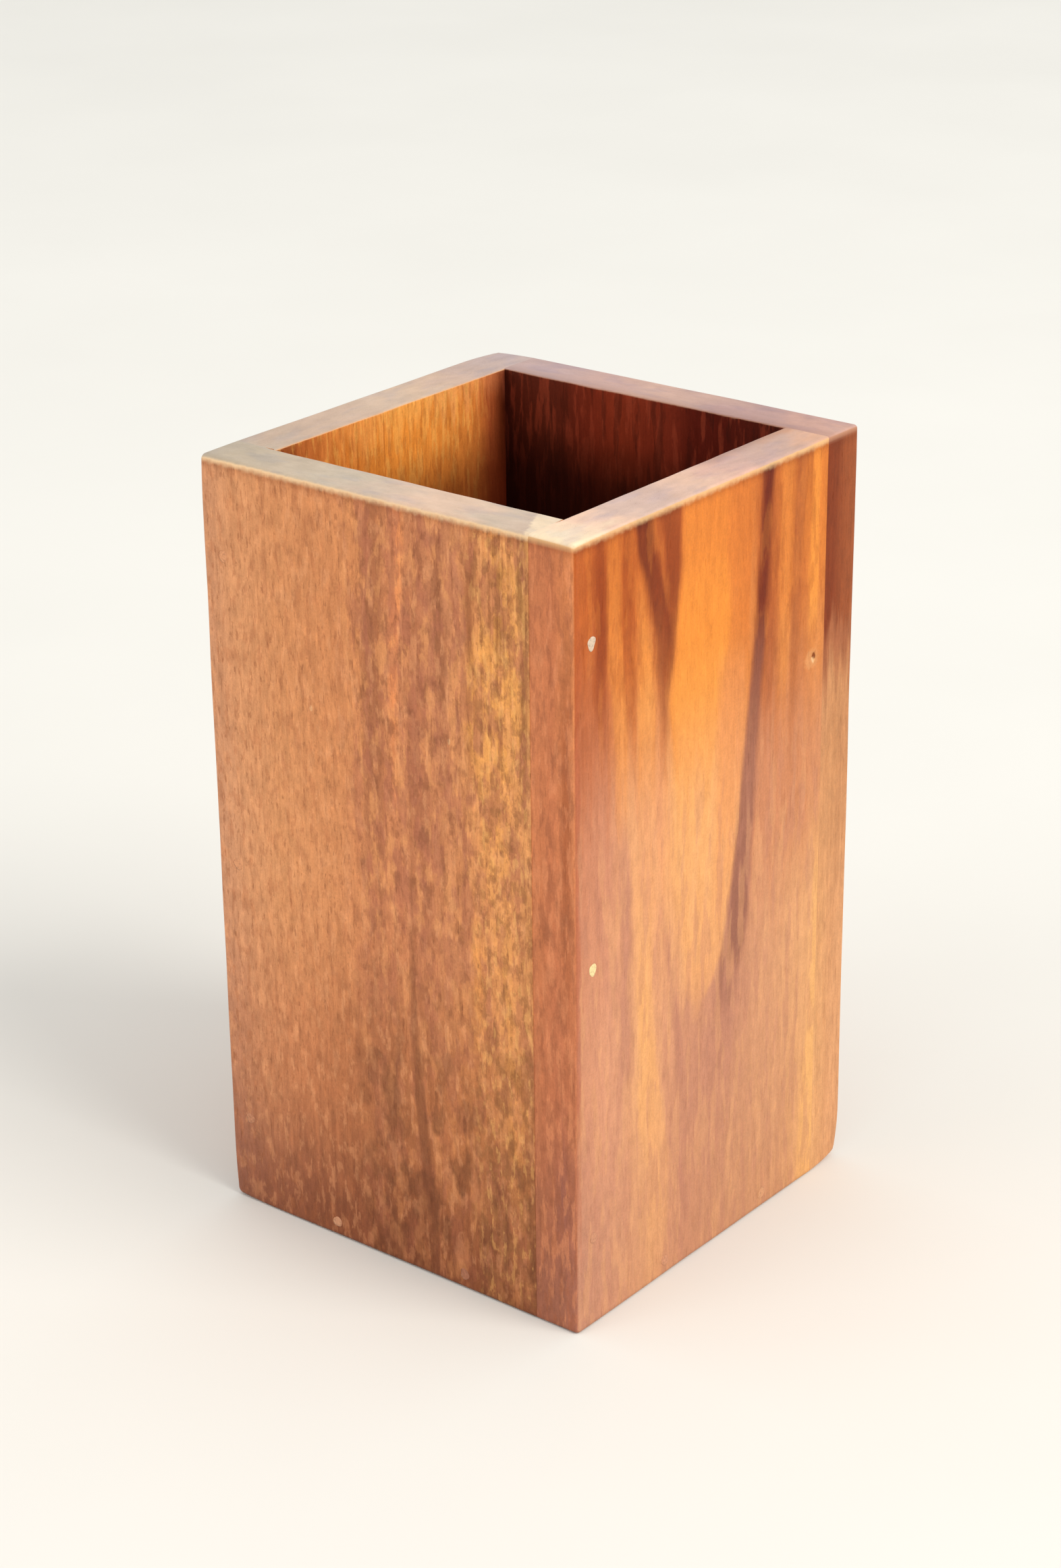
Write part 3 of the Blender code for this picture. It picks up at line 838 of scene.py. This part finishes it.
def right_wood():
    """A golden flame between dark growth lines, over pale pinkish tan, paler below about 95 mm partly from a painted
    reflection.
    """
    wood = Wood("right", 2)
    top = [
        (0, (203, 112, 58)), (6, (192, 100, 48)), (9.5, (212, 120, 56)), (13, (196, 102, 48)),
        (16, (208, 116, 54)), (19, (190, 102, 52)), (24.5, (196, 104, 50)), (26, (236, 142, 64)),
        (34, (240, 144, 66)), (40, (222, 128, 62)), (45, (196, 106, 54)), (50.5, (222, 132, 64)),
        (54.5, (206, 120, 58)), (59, (236, 144, 66)), (62, (220, 130, 62)),
    ]
    upper = [
        (0, (195, 113, 74)), (7, (199, 116, 74)), (10.5, (224, 138, 78)), (14, (216, 130, 72)),
        (17, (236, 154, 88)), (21, (205, 120, 68)), (24.5, (250, 162, 78)), (34, (254, 166, 80)),
        (40, (230, 140, 74)), (45, (196, 112, 64)), (48, (196, 110, 62)), (51, (222, 136, 72)),
        (55, (206, 120, 64)), (60, (230, 144, 76)), (62, (220, 134, 70)),
    ]
    middle = [
        (0, (212, 138, 102)), (8, (217, 147, 113)), (12.5, (240, 171, 120)), (20, (244, 169, 116)),
        (25, (252, 182, 114)), (30, (254, 184, 112)), (36, (244, 166, 106)), (41, (216, 144, 104)),
        (50, (215, 141, 99)), (57, (217, 143, 98)), (62, (222, 150, 104)),
    ]
    low = [
        (0, (216, 148, 113)), (6, (230, 161, 124)), (11, (226, 160, 122)), (15.5, (242, 175, 121)),
        (20, (230, 163, 120)), (28, (220, 154, 117)), (38, (206, 142, 112)), (44, (220, 156, 116)),
        (50, (226, 162, 118)), (59, (238, 174, 120)), (62, (248, 184, 122)),
    ]
    foot = [
        (0, (204, 144, 116)), (8, (214, 151, 118)), (18, (226, 162, 117)), (26, (210, 146, 112)),
        (40, (215, 153, 113)), (52, (216, 153, 112)), (59, (236, 171, 114)), (62, (246, 180, 118)),
    ]
    # the rows below about 95 mm are paler and pinker: partly the wood, partly a painted reflection of the bright floor
    face = wood.layers([(6, foot), (42, low), (74, middle), (98, upper), (116, top)])
    for tone, path, soft, strength in (
        # left of the flame
        ((150, 66, 28), [(125, 4.4, 7.2), (95, 4.6, 7.6)], 0.9, [(125, 0.2), (112, 0.75), (102, 0.5), (92, 0)]),
        ((250, 164, 82), [(125, 7.6, 10.6), (105, 7.8, 11.4), (100, 8.6, 11.8), (90, 9.6, 12.4)], 0.7, [(125, 0.1), (112, 0.35), (98, 0.4), (84, 0.2), (75, 0)]),
        ((180, 92, 42), [(125, 11, 13.4), (98, 11.6, 13.8)], 0.6, [(125, 0.4), (112, 0.65), (98, 0.4), (90, 0)]),
        ((250, 166, 86), [(125, 13, 15), (115, 14, 16), (105, 15, 17.6), (96, 14.6, 18.6)], 0.7, [(118, 0), (112, 0.3), (100, 0.55), (88, 0.2), (75, 0)]),
        ((110, 40, 10), [(125, 13.8, 17.6), (120, 14.6, 18.6), (115, 16.4, 20.2), (110, 17.8, 21.8), (105, 19, 23), (100, 19.6, 23), (94, 20.2, 22.2), (86, 20.8, 21.4)], 0.9, [(125, 0.9), (114, 0.75), (102, 0.5), (94, 0.25), (86, 0)]),
        ((134, 56, 22), [(125, 19.6, 24.4), (116, 21, 24.8), (108, 21.2, 24.4), (102, 21.4, 23.8)], 0.9, [(125, 0.4), (112, 0.65), (104, 0.4), (97, 0)]),
        # the flame
        ((232, 140, 68), [(125, 24.8, 45), (105, 24, 44), (95, 22.6, 43), (88, 23.4, 42), (80, 24.7, 41)], 0.7, [(125, 0.6), (95, 0.7), (80, 0)]),
        ((254, 162, 72), [(125, 25, 36.6), (115, 25, 36), (105, 24.2, 37), (95, 22.8, 35.5), (85, 24.2, 33.6), (70, 25, 31)], 1.0, [(125, 0.1), (116, 0.35), (102, 0.85), (86, 0.7), (68, 0)]),
        ((252, 180, 116), [(92, 23.4, 42.5), (80, 24.7, 41), (65, 25.3, 39.4), (55, 25.7, 37.6), (50, 26, 36.2), (46.5, 26.8, 34), (43.5, 28.6, 31)], 0.9, [(95, 0), (80, 0.5), (60, 0.85), (50, 0.75), (43, 0.4), (40, 0)]),
        ((240, 154, 92), [(125, 34, 41), (80, 34, 40.8), (60, 34, 39)], 1.2, [(100, 0), (86, 0.55), (66, 0.3), (52, 0)]),
        ((228, 150, 92), [(125, 42.4, 44), (96, 42, 43.8)], 0.5, [(125, 0), (114, 0.2), (105, 0.5), (95, 0)]),
        # the dark line down its right side
        ((182, 98, 52), [(125, 44, 50), (95, 43, 49.4)], 1.4, [(125, 0.6), (95, 0.5), (84, 0)]),
        ((118, 46, 12), [(125, 45.4, 48.6), (115, 45, 47.5), (105, 44, 47), (95, 43, 46), (85, 41.8, 45), (75, 40.9, 44)], 1.0, [(125, 1), (100, 0.9), (88, 0.6), (72, 0)]),
        ((164, 106, 86), [(100, 43.5, 46.4), (90, 42.4, 45.4), (80, 41.1, 44.8), (70, 39.5, 44), (60, 38, 43), (50, 36.2, 42), (45, 35.2, 40.6), (40, 34, 39.4)], 0.9, [(104, 0), (90, 0.6), (76, 0.8), (56, 0.95), (46, 0.7), (36, 0)]),
        # right of it
        ((242, 156, 80), [(125, 50.2, 53), (90, 50, 52.8)], 0.7, [(125, 0.35), (100, 0.4), (86, 0)]),
        ((186, 108, 62), [(125, 54, 56.4), (100, 53.2, 55.2), (74, 53, 54.6)], 0.6, [(125, 0.5), (95, 0.6), (80, 0.25), (70, 0)]),
        ((170, 92, 46), [(125, 56.2, 58), (108, 56, 57.4)], 0.6, [(125, 0.6), (112, 0)]),
        ((254, 168, 80), [(125, 57.8, 59.6), (96, 57.4, 59.8)], 0.5, [(125, 0.35), (105, 0.75), (94, 0.1), (90, 0)]),
        ((252, 186, 116), [(60, 59, 62.6), (45, 59.8, 62.2), (30, 60, 62.2), (20, 59, 62.4), (0, 58, 62.6)], 0.8, [(66, 0), (45, 0.6), (10, 0.85), (0, 0.7)]),
        # below: gold and mauve lines
        ((192, 128, 108), [(80, 10.4, 12.4), (60, 10.6, 13), (40, 10.8, 13)], 0.8, [(82, 0), (64, 0.6), (44, 0.5), (30, 0)]),
        ((255, 184, 114), [(70, 13.4, 19), (50, 14.6, 18), (40, 15.4, 19.2), (30, 15.2, 21), (20, 17, 22.6), (0, 17, 22)], 0.8, [(76, 0), (60, 0.3), (45, 0.65), (32, 0.5), (20, 0.35), (0, 0.1)]),
        ((190, 126, 104), [(62, 20.3, 21.4), (50, 22.4, 23.8), (44, 23.8, 25.2), (30, 25, 27)], 0.6, [(66, 0), (52, 0.5), (42, 0.5), (28, 0)]),
        ((198, 135, 110), [(48, 24, 39), (38, 24, 39), (26, 24, 36)], 3.0, [(50, 0), (40, 0.25), (32, 0.45), (20, 0.2), (8, 0)]),
        ((198, 134, 110), [(24, 23.2, 24.6), (10, 26.4, 28)], 0.6, [(28, 0), (18, 0.5), (6, 0)]),
        ((184, 92, 62), [(125, -1, 1), (0, -1, 1)], 0.5, [(125, 0.2), (70, 0.5), (20, 0.5), (8, 0)]),
        ((216, 156, 124), [(125, -1, 0.9), (0, -1, 0.9)], 0.25, [(34, 0), (22, 0.35), (8, 0.7), (0, 0.7)]),
    ):
        face = wood.streak(face, tone, path, soft, strength)
    face = wood.patches(face, (
        ((244, 178, 124), (2.0, 14.0), 0.54, 0.32),
        ((200, 136, 110), (1.9, 12.0), 0.54, 0.34),
    ), wood.between(wood.z, 92, 66), 0.5)
    beside = wood.math("ABSOLUTE", wood.math("SUBTRACT", wood.flat_u, 33.0))
    face = wood.patches(face, (
        ((246, 156, 76), (2.4, 9.0), 0.56, 0.16),
        ((160, 76, 34), (1.6, 7.0), 0.54, 0.26),
    ), wood.times(wood.between(wood.z, 84, 102), wood.between(beside, 9, 12, 0.3, 1.0)), 0.5)
    # deeper orange above about 94 mm, offsetting the lamps' sheen there, at the top of the painted reflection
    face = wood.mix(face, (1.0, 0.9, 0.71, 1), wood.between(wood.z, 94, 104), "MULTIPLY")
    # the torn knot
    face = wood.spot(face, (240, 176, 116), (58.6, 90.6), (1.7, 1.5), 0.4)
    face = wood.spot(face, (140, 74, 42), (59.3, 90.8), (0.38, 0.6), 0.9)
    wood.light = LIGHT["front"]
    edge = wood.layers([
        (3, [(-8, (156, 98, 76)), (-3, (150, 96, 76)), (0, (166, 108, 88))]),
        (20, [(-8, (168, 105, 76)), (-4.5, (166, 102, 75)), (-2.5, (150, 94, 78)), (0, (172, 108, 82))]),
        (42, [(-8, (190, 117, 79)), (-4, (186, 112, 78)), (0, (194, 120, 84))]),
        (68, [(-8, (200, 124, 82)), (-4, (192, 116, 79)), (0, (200, 124, 84))]),
        (108, [(-8, (196, 122, 82)), (-4, (192, 116, 78)), (-1.5, (206, 128, 82)), (0, (212, 134, 86))]),
    ])
    edge = wood.streak(edge, (158, 88, 56), [(125, -2.2, -0.6), (0, -2.4, -0.8)], 0.5, [(125, 0), (104, 0.45), (90, 0.75), (70, 0.55), (50, 0.25), (30, 0.1)])
    edge = wood.patches(edge, (
        ((214, 138, 96), (1.2, 6.0), 0.54, 0.45),
        ((158, 94, 66), (1.2, 5.0), 0.54, 0.45),
    ))
    wood.light = LIGHT["right"]
    # wear and painted shade lines under the arris and at the foot, then the fine grain
    colour = wood.grain(wood.wear_and_shade_lines(wood.edge(face, edge)), 0.08, 0.06, 0.1, 0.2, 0.2, wood.between(wood.flat_u, 0.3, -0.3, 0.2, 0.36))
    rims = [
        (0, (253, 228, 192)), (6, (251, 219, 187)), (11, (244, 204, 177)), (16, (222, 190, 173)), (24, (218, 185, 169)),
        (33, (236, 195, 169)), (40, (226, 182, 164)), (47, (210, 174, 160)), (54, (211, 174, 156)), (62, (228, 178, 148)),
    ]
    return wood.finish(wood.rim(colour, rims, (250, 204, 148), lip=(0.4, 36)))


def back_wood():
    """Dark red-brown that turns to tan low down."""
    wood = Wood("back", 3)
    top = [(0, (150, 82, 52)), (8, (132, 66, 40)), (16, (168, 92, 56)), (24, (140, 70, 44)), (36, (176, 100, 62)), (44, (138, 68, 42)), (54, (160, 86, 54)), (62, (146, 76, 50))]
    low = [(0, (226, 164, 118)), (10, (214, 148, 104)), (22, (200, 132, 92)), (34, (216, 150, 106)), (46, (196, 126, 88)), (62, (210, 142, 100))]
    face = wood.layers([(40, low), (104, top)])
    for tone, path, soft, strength in (
        ((96, 44, 26), [(125, 26, 29), (80, 27, 30), (40, 29, 31), (0, 30, 31.4)], 0.8, [(125, 0.9), (70, 0.6), (30, 0.3), (0, 0.2)]),
        ((104, 48, 28), [(125, 42, 44), (70, 41, 43.4), (0, 38, 40)], 0.8, [(125, 0.8), (60, 0.5), (20, 0.1)]),
        ((206, 124, 74), [(125, 33, 37), (60, 33, 36), (0, 32, 34)], 1.2, [(125, 0.5), (50, 0.4), (0, 0.2)]),
    ):
        face = wood.streak(face, tone, path, soft, strength)
    face = wood.arches(face, (92, 42, 26), 35, (9.0, 16.0), 0.45)
    wood.light = LIGHT["right"]
    # the board's end as it shows on the right face: dark red-brown at the top, tan below about 90 mm partly as a
    # painted reflection
    edge = wood.layers([
        (30, [(-8, (242, 178, 120)), (-4, (236, 170, 118)), (0, (232, 168, 118))]),
        (82, [(-8, (222, 156, 106)), (-4, (214, 150, 100)), (0, (212, 148, 100))]),
        (92, [(-8, (176, 104, 66)), (-4, (182, 110, 72)), (0, (180, 108, 70))]),
        (97, [(-8, (140, 62, 30)), (-5.5, (142, 66, 35)), (-3, (164, 86, 48)), (0, (168, 92, 54))]),
    ])
    wood.light = LIGHT["back_inside"]
    # the inside face, darker towards both inner corners: painted shade there
    inside = wood.layers([(105, [(0, (58, 20, 12)), (12, (68, 18, 10)), (17, (72, 20, 11)), (22, (98, 34, 19)), (32, (106, 38, 20)), (38, (94, 32, 18)), (44, (72, 26, 16)), (54, (60, 21, 12))])])
    inside = wood.patches(inside, (
        ((128, 54, 34), (1.2, 9.0), 0.54, 0.4),
        ((44, 14, 9), (1.8, 12.0), 0.54, 0.45),
    ))
    # painted shade: the inside grows darker lower down the well
    inside = wood.deepen(inside, (22, 5, 3), [(125, 0), (119, 0.08), (115, 0.38), (111, 0.68), (107, 0.86), (98, 0.9), (0, 0.9)])
    wood.light = LIGHT["back"]
    colour = wood.inside(wood.edge(face, edge), inside)
    colour = wood.grain(colour, 0.18, 0.12, 0.14, 0.3, 0.25, 0.25)
    rims = [
        (0, (214, 170, 152)), (6, (208, 164, 148)), (12, (194, 156, 146)), (18, (193, 156, 148)), (26, (205, 168, 153)),
        (36, (214, 175, 157)), (44, (206, 168, 155)), (54, (198, 167, 160)), (62, (198, 168, 160)),
    ]
    return wood.finish(wood.rim(colour, rims, (190, 140, 112), lip=(0.22, -10)))


def left_wood():
    """Straight golden grain with fine brown lines."""
    wood = Wood("left", 4)
    top = [(0, (206, 138, 90)), (10, (212, 144, 88)), (18, (196, 124, 74)), (28, (218, 148, 86)), (38, (206, 132, 76)), (48, (216, 146, 86)), (62, (200, 130, 82))]
    low = [(0, (184, 122, 84)), (14, (196, 130, 84)), (26, (184, 116, 74)), (42, (198, 130, 80)), (62, (186, 120, 80))]
    face = wood.layers([(20, low), (90, top)])
    for tone, path, soft, strength in (
        ((150, 92, 60), [(125, 14, 16), (60, 15, 16.6), (0, 16, 17.4)], 0.7, [(125, 0.6), (60, 0.5), (0, 0.3)]),
        ((236, 164, 94), [(125, 22, 27), (60, 23, 27), (0, 24, 27)], 1.5, [(125, 0.5), (50, 0.4), (0, 0.2)]),
        ((160, 98, 60), [(125, 37, 38.4), (60, 36, 37.6), (0, 34, 35.6)], 0.6, [(125, 0.6), (60, 0.5), (0, 0.4)]),
    ):
        face = wood.streak(face, tone, path, soft, strength)
    face = wood.arches(face, (150, 88, 52), 26, (8.0, 13.0), 0.4)
    wood.light = LIGHT["left_inside"]
    # the inside face: lighter just under the rim and darker towards both inner corners, painted light and shade
    inside = wood.layers([
        (119, [(0, (78, 28, 12)), (4, (156, 77, 39)), (8, (202, 120, 53)), (13, (214, 131, 55)), (24, (219, 136, 54)), (32, (206, 125, 49)), (40, (190, 110, 44)), (47, (150, 80, 34)), (54, (100, 44, 20))]),
        (124, [(0, (120, 56, 34)), (4, (184, 106, 61)), (8, (214, 138, 74)), (13, (228, 150, 80)), (24, (229, 151, 70)), (32, (218, 141, 68)), (40, (205, 126, 59)), (47, (175, 98, 46)), (54, (120, 60, 30))]),
    ])
    inside = wood.patches(inside, (
        ((238, 166, 84), (0.8, 5.0), 0.54, 0.4),
        ((158, 86, 36), (0.7, 5.0), 0.54, 0.4),
    ), wood.between(wood.flat_u, 2, 10))
    # painted shade: the inside grows darker lower down the well
    inside = wood.deepen(inside, (80, 24, 8), [(125, 0), (119, 0.03), (115, 0.22), (111, 0.54), (107, 0.76), (98, 0.85), (0, 0.85)])
    wood.light = LIGHT["back"]
    edge = wood.layers([(20, [(-8, (190, 126, 84)), (0, (196, 130, 88))])])
    wood.light = LIGHT["left"]
    colour = wood.inside(wood.edge(face, edge), inside)
    colour = wood.grain(colour, 0.2, 0.14, 0.16, 0.3, 0.3, 0.25)
    rims = [
        (0, (200, 176, 168)), (10, (202, 176, 164)), (16, (210, 179, 160)), (25, (222, 190, 162)), (34, (215, 187, 163)),
        (44, (211, 181, 158)), (54, (207, 178, 155)), (62, (198, 177, 156)),
    ]
    return wood.finish(wood.rim(colour, rims, (222, 172, 126)))


def base_wood():
    """The base's plain brown board, with its grain lying across the cup."""
    wood = Wood("front", 5)
    place = wood.node("TexCoord").outputs["Object"]
    scale = 1 / MM
    inputs = {"Vector": place, "Rotation": (0, math.pi / 2, 0), "Scale": (scale,) * 3}
    turned = wood.node("SeparateXYZ", {0: wood.node("Mapping", inputs).outputs[0]}).outputs
    wood.s, wood.d, wood.z = turned[1], turned[0], turned[2]
    wood.flat_u = wood.add(wood.s, wood.d)
    wood.u = wood.wander(wood.flat_u)
    tones = [(-36, (150, 92, 58)), (-16, (182, 116, 72)), (-4, (164, 100, 62)), (12, (190, 122, 78)), (24, (158, 96, 62)), (36, (176, 110, 70))]
    colour = wood.ramp(wood.u, tones, LIGHT["left"])
    wood.material.name = "wood_base"
    return wood.finish(wood.grain(colour, 0.25, 0.2, 0.2, 0.35, 0.3, 0.25))


# ---------------------------------------------------------------- fillers, brads and floor


def filler_material(name, tone, light):
    """Wood filler: chalky and finely grained, with paler and darker crumbs."""
    graph = Graph(name)
    place = graph.node("TexCoord").outputs["Object"]
    scaled_place = graph.node("VectorMath", {0: place, 3: 1 / (0.35 * MM)}, operation="SCALE").outputs[0]
    crumbs = graph.noise(scaled_place, 4)
    pale = tuple(min(value + 12, 255) for value in tone)
    dark = tuple(value * 0.86 for value in tone)
    colour = graph.ramp(crumbs, [(0.3, dark), (0.5, tone), (0.7, pale)], light)
    bump = {"Height": crumbs, "Distance": 0.03 * MM, "Strength": 1.0}
    graph.put(graph.shader.inputs["Normal"], graph.node("Bump", bump).outputs[0])
    graph.put(graph.shader.inputs["Base Color"], colour)
    graph.put(graph.shader.inputs["Roughness"], graph.between(crumbs, 0.3, 0.7, 0.6, 0.8))
    return graph.material


def steel_material():
    """Drawn steel wire with fine scratches along it."""
    graph = Graph("brad_steel")
    place = graph.node("TexCoord").outputs["Object"]
    scaled_place = graph.node("VectorMath", {0: place, 3: 1 / (0.2 * MM)}, operation="SCALE").outputs[0]
    marks = graph.noise(scaled_place, 3)
    graph.put(graph.shader.inputs["Base Color"], graph.ramp(marks, [(0.3, (138, 138, 142)), (0.7, (190, 190, 194))], (1.0, 0.0)))
    graph.put(graph.shader.inputs["Roughness"], graph.between(marks, 0.3, 0.7, 0.25, 0.45))
    graph.shader.inputs["Metallic"].default_value = 1.0
    bump = {"Height": marks, "Distance": 0.005 * MM, "Strength": 1.0}
    graph.put(graph.shader.inputs["Normal"], graph.node("Bump", bump).outputs[0])
    return graph.material


def floor_material():
    """Pale plaster, nearly white."""
    graph = Graph("floor")
    place = graph.node("TexCoord").outputs["Object"]
    clouds = graph.noise(graph.node("VectorMath", {0: place, 3: 9.0}, operation="SCALE").outputs[0], 4)
    graph.put(graph.shader.inputs["Base Color"], graph.ramp(clouds, [(0.3, (222, 219, 211)), (0.7, (225, 222, 214))], (1.0, 0.0)))
    graph.shader.inputs["Roughness"].default_value = 0.9
    graph.shader.inputs["Specular IOR Level"].default_value = 0.2
    return graph.material


FLOOR_REACH = 6.0
FLOOR_DROP = 0.05 * MM


def make_floor():
    lines = np.linspace(-FLOOR_REACH, FLOOR_REACH, 13)
    verts = [(x, y, -FLOOR_DROP) for y in lines for x in lines]
    count = len(lines)
    faces = [
        (j * count + i, j * count + i + 1, (j + 1) * count + i + 1, (j + 1) * count + i)
        for j in range(count - 1)
        for i in range(count - 1)
    ]
    floor = new_object("floor", verts, faces)
    floor.data.materials.append(floor_material())


def area_light(name, place, aim, size, power, tone):
    light = bpy.data.lights.new(name, "AREA")
    light.shape = "DISK"
    light.size = size
    light.energy = power
    light.color = tone
    lamp = bpy.data.objects.new(name, light)
    bpy.context.scene.collection.objects.link(lamp)
    lamp.location = place
    lamp.visible_glossy = False
    lamp.rotation_euler = (Vector(aim) - Vector(place)).to_track_quat("-Z", "Y").to_euler()


def make_light():
    world = bpy.data.worlds.new("studio")
    bpy.context.scene.world = world
    world.use_nodes = True
    sky = world.node_tree.nodes["Background"]
    sky.inputs["Color"].default_value = (0.96, 0.98, 1.0, 1)
    sky.inputs["Strength"].default_value = 0.92
    middle = (0, 0, 0.5 * HEIGHT)
    area_light("key", (2.2, 0.15, 1.8), middle, 2.0, 60.0, (1.0, 0.975, 0.94))
    area_light("fill", (-0.9, -2.4, 1.1), middle, 1.6, 15.0, (1.0, 0.98, 0.96))


def make_camera():
    """The photograph's view: a long lens, looking down 23 degrees at the front right corner."""
    data = bpy.data.cameras.new("camera")
    data.lens = 76.24
    data.sensor_width = 36
    data.clip_start = 0.01
    camera = bpy.data.objects.new("camera", data)
    bpy.context.scene.collection.objects.link(camera)
    right = Vector((0.78298, 0.62196, -0.01035))
    down = Vector((0.23617, -0.31262, -0.92005))
    forward = Vector((-0.57547, 0.71794, -0.39167))
    turn = Matrix((right, -down, -forward)).transposed().to_4x4()
    camera.matrix_world = Matrix.Translation((0.29636, -0.371, 0.27118)) @ turn
    bpy.context.scene.camera = camera


# ---------------------------------------------------------------- the cup

KNOTS = {"right": [(-HALF + 59.3 * MM, 90.8 * MM)]}
WOODS = {"front": front_wood, "right": right_wood, "back": back_wood, "left": left_wood}

for side in SIDES:
    board = make_board(side, KNOTS.get(side, ()))
    board.data.materials.clear()
    board.data.materials.append(WOODS[side]())

base = make_base()
base.data.materials.clear()
base.data.materials.append(base_wood())

steel = steel_material()
for side in SIDES:
    for nail in nails_of(side):
        plug = make_filler(nail, side)
        tone = FILLER_TONES.get(nail, PLAIN_FILLER)
        plug.data.materials.append(filler_material(f"filler_{nail}", tone, LIGHT[side]))
        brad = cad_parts[f"brad_{nail}"]
        brad.data.materials.clear()
        brad.data.materials.append(steel)

make_floor()
make_light()
make_camera()
bpy.context.scene.view_settings.view_transform = "Standard"
bpy.context.scene.view_settings.look = "None"
